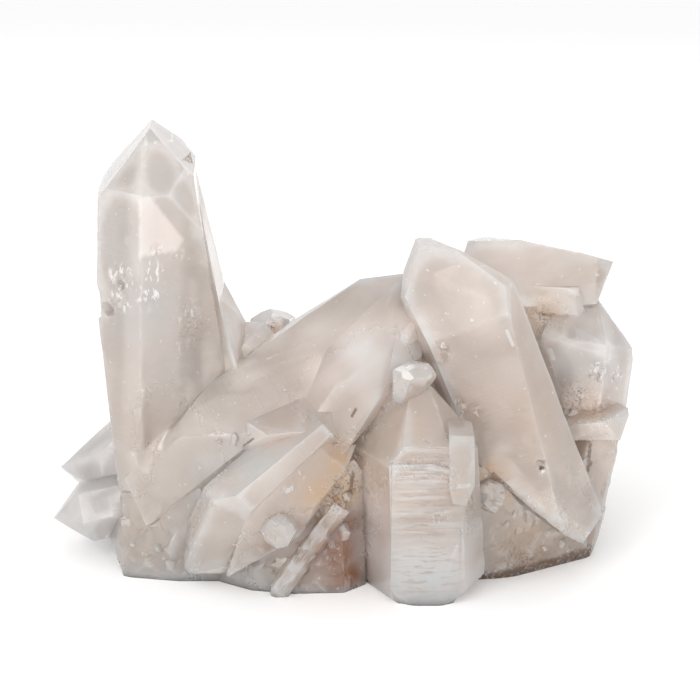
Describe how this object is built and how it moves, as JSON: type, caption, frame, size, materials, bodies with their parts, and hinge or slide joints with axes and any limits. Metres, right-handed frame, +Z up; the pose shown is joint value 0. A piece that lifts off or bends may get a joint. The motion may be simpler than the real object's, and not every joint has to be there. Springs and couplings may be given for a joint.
{
  "type": "quartz crystal cluster",
  "caption": "Natural cluster of intergrown milky quartz points leaning both ways on a broken foot, sawn flat underneath to stand on a shelf.",
  "frame": {"origin": "a point on the flat sawn underside, below the middle of the cluster", "axes": "+X to the right along the cluster's length, +Y to the back, +Z up from the sawn underside; the display side faces -Y"},
  "size_m": [0.1537, 0.0928, 0.114],
  "materials": {
    "milky_quartz": "milky, half translucent, glassy to satin natural crystal faces"
  },
  "bodies": {
    "root": {"quartz_cluster": "milky_quartz"}
  },
  "joints": []
}
